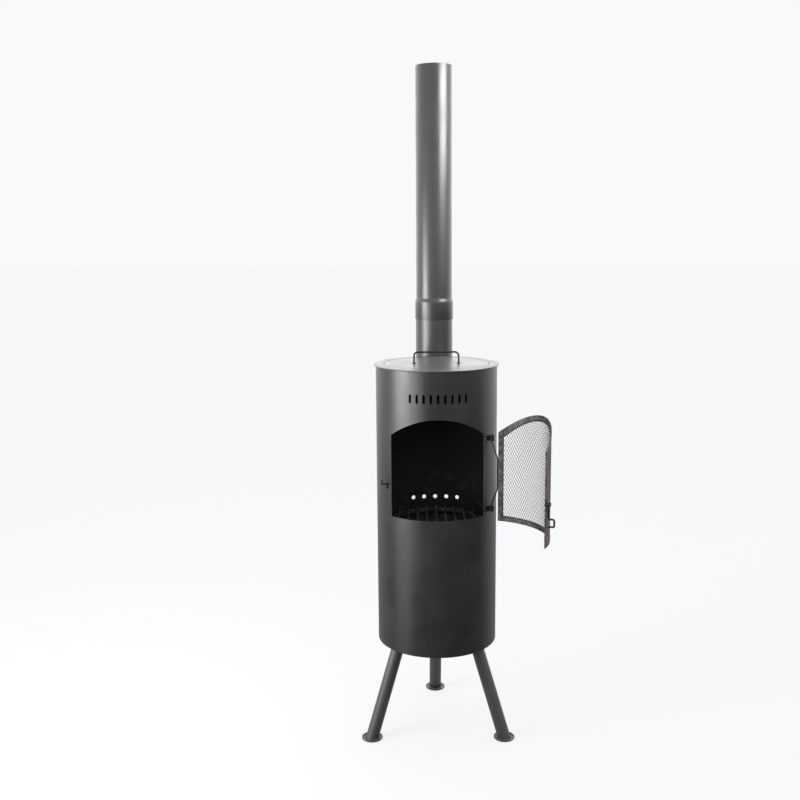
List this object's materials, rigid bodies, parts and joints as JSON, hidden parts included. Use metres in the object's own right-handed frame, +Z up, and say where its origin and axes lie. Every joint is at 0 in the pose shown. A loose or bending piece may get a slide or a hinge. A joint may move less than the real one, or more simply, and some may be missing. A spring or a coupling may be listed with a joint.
{
  "type": "chiminea",
  "caption": "Free-standing steel chiminea: tall drum firebox on splayed legs, arched mesh door with a drop latch, lift-off lid and a rear flue with a long chimney pipe.",
  "frame": {"origin": "on the drum's axis, in the plane that the three feet stand on", "axes": "+Z up along the drum's axis; the door opening faces -Y; the flue stands on the +Y side"},
  "size_m": [0.5924, 0.7794, 2.243],
  "materials": {
    "drum_paint": "satin heat-resistant paint",
    "ring_paint": "semi-gloss heat-resistant paint",
    "lid_paint": "semi-gloss heat-resistant paint",
    "pipe_paint": "satin heat-resistant paint",
    "door_paint": "matt heat-resistant paint",
    "mesh_paint": "matt heat-resistant paint",
    "wire_paint": "satin heat-resistant paint",
    "leg_paint": "satin heat-resistant paint",
    "sooted_steel": "matt, sooted",
    "zinc_steel": "zinc plated"
  },
  "bodies": {
    "stove": {"body_shell": "drum_paint", "bottom_plate": "drum_paint", "fire_floor": "sooted_steel", "top_ring": "ring_paint", "lid_tabs": "drum_paint", "flue_branch": "pipe_paint", "flue_riser": "pipe_paint", "hinge_eye_upper": "wire_paint", "hinge_eye_lower": "wire_paint", "latch_keeper": "wire_paint", "leg_left": "leg_paint", "leg_right": "leg_paint", "leg_rear": "leg_paint", "leg_plate_left": "leg_paint", "leg_plate_right": "leg_paint", "leg_plate_rear": "leg_paint", "foot_left": "leg_paint", "foot_right": "leg_paint", "foot_rear": "leg_paint", "leg_bolts": "zinc_steel", "leg_nuts": "zinc_steel"},
    "door": {"door_frame": "door_paint", "door_mesh": "mesh_paint", "hinge_rod": "wire_paint", "latch_pin": "wire_paint"},
    "latch": {"latch_lever": "wire_paint"},
    "lid": {"lid": "lid_paint", "lid_handle": "wire_paint", "lid_handle_washers": "wire_paint"},
    "chimney": {"chimney_pipe": "pipe_paint"},
    "grate": {"grate_ring": "sooted_steel", "grate_bars": "sooted_steel"}
  },
  "joints": [
    {"name": "door_hinge", "type": "hinge", "parent": "stove", "child": "door", "pos_m": [0.17576, -0.11855, 0.9105], "axis": [0, 0, 1], "range_deg": [-110.5, 85]},
    {"name": "latch_pivot", "type": "hinge", "parent": "door", "child": "latch", "pos_m": [0.31632, -0.42306, 0.888], "axis": [-0.8881, 0.4596, 0], "range_deg": [-277, 53]},
    {"name": "lid_lift", "type": "slide", "parent": "stove", "child": "lid", "axis": [0, 0, 1], "range_m": [0, 0.08]},
    {"name": "chimney_lift", "type": "slide", "parent": "stove", "child": "chimney", "axis": [0, 0, 1], "range_m": [0, 0.12]},
    {"name": "grate_lift", "type": "slide", "parent": "stove", "child": "grate", "axis": [0, 0, 1], "range_m": [0, 0.15]}
  ]
}
